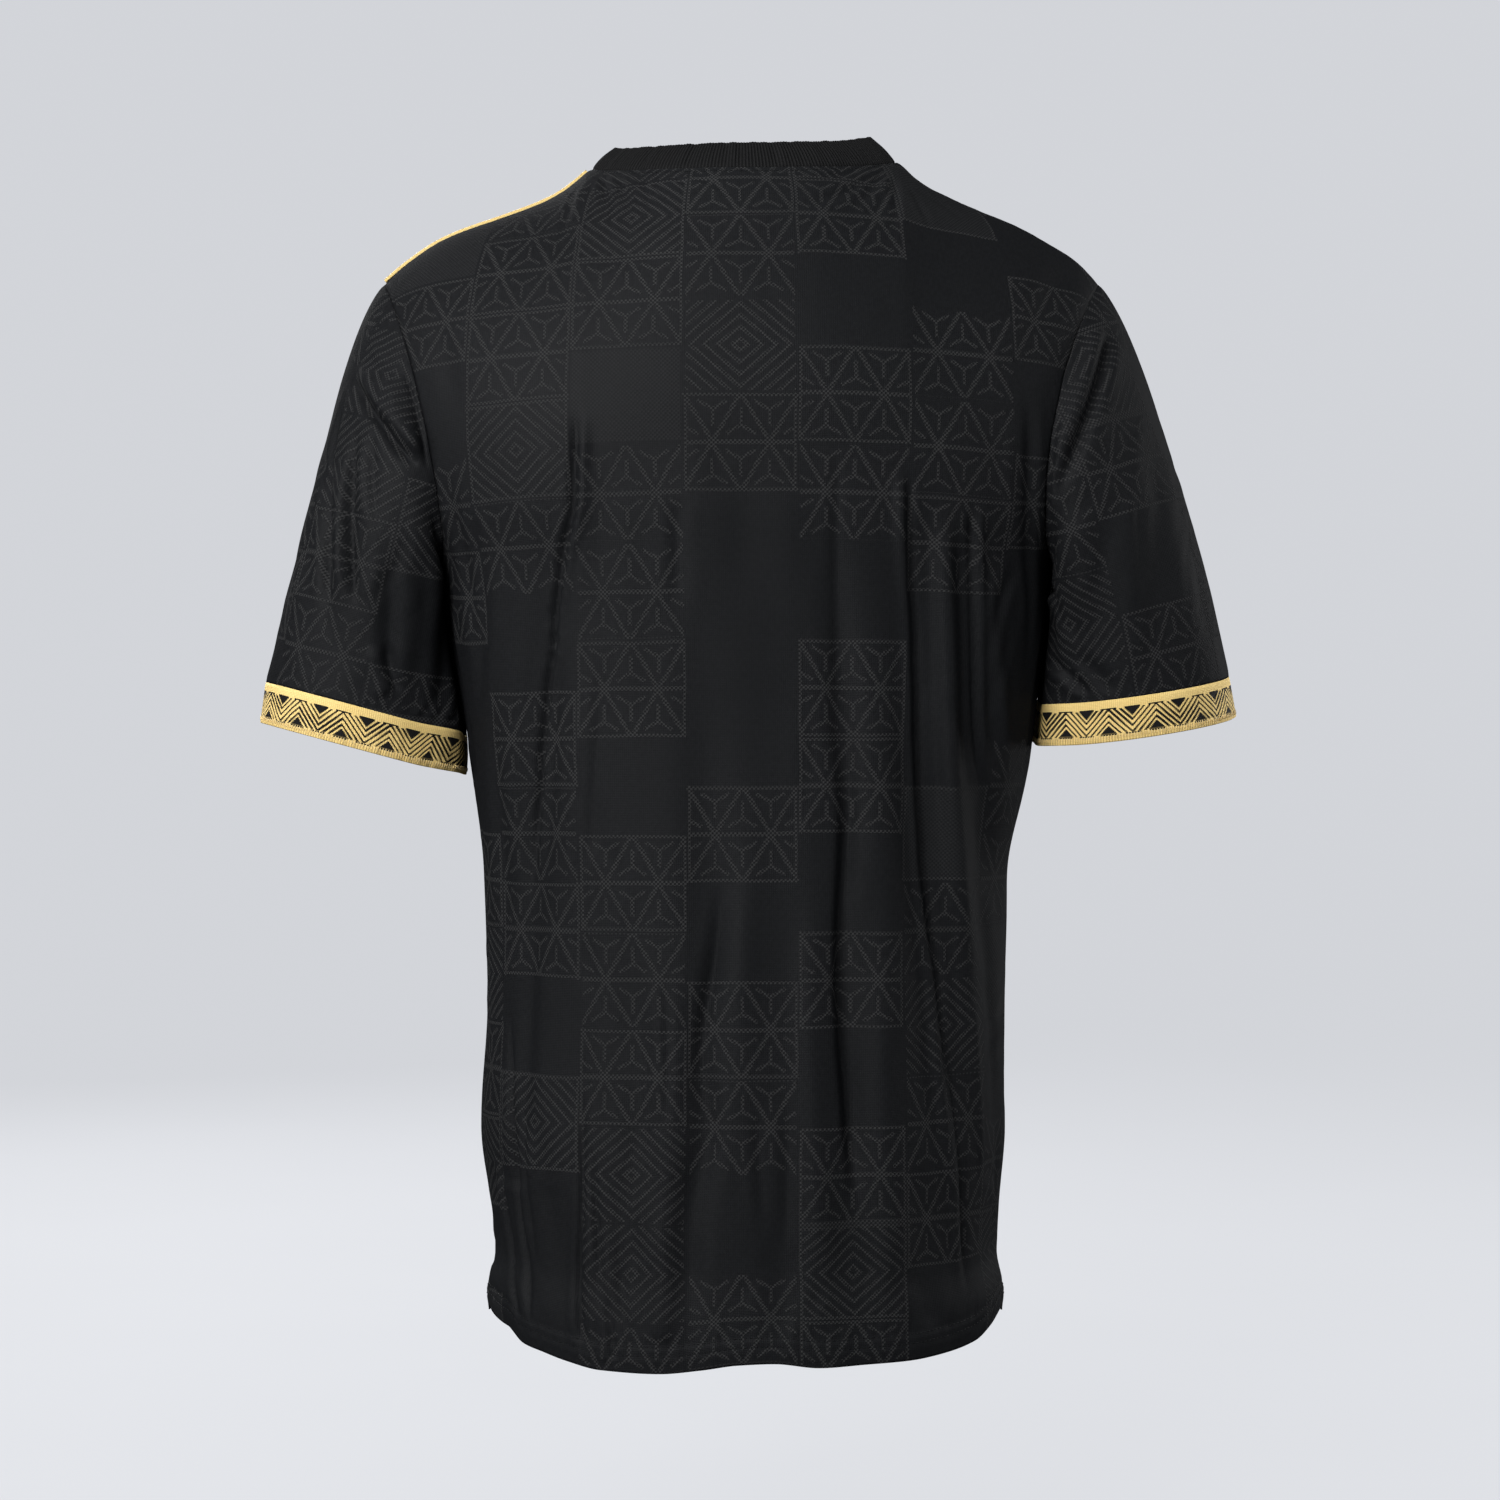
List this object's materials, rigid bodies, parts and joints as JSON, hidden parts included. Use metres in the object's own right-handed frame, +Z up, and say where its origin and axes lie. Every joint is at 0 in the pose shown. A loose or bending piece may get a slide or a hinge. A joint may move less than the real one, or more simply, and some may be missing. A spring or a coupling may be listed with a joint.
{
  "type": "football jersey",
  "caption": "Short-sleeved knit football jersey as worn with no wearer, with set-in sleeves, gold patterned sleeve bands, a ribbed crew neckband and gold shoulder tapes.",
  "frame": {"origin": "middle of the neck opening, level with the high shoulder points, where the garment hangs on its wearer", "axes": "+Z up, front faces -Y, +X is the wearer's left"},
  "size_m": [0.6033, 0.2589, 0.7422],
  "materials": {
    "jacquard_knit": "black tone-on-tone jacquard knit",
    "rib_knit": "black ribbed knit",
    "gold_band": "gold woven band with a black geometric design",
    "gold_tape": "plain gold woven tape"
  },
  "bodies": {
    "root": {"back_panel": "jacquard_knit", "front_panel": "jacquard_knit", "sleeve_left": "jacquard_knit", "sleeve_right": "jacquard_knit", "neckband": "rib_knit", "sleeve_band_left": "gold_band", "sleeve_band_right": "gold_band", "shoulder_tape_left": "gold_tape", "shoulder_tape_right": "gold_tape"}
  },
  "joints": []
}
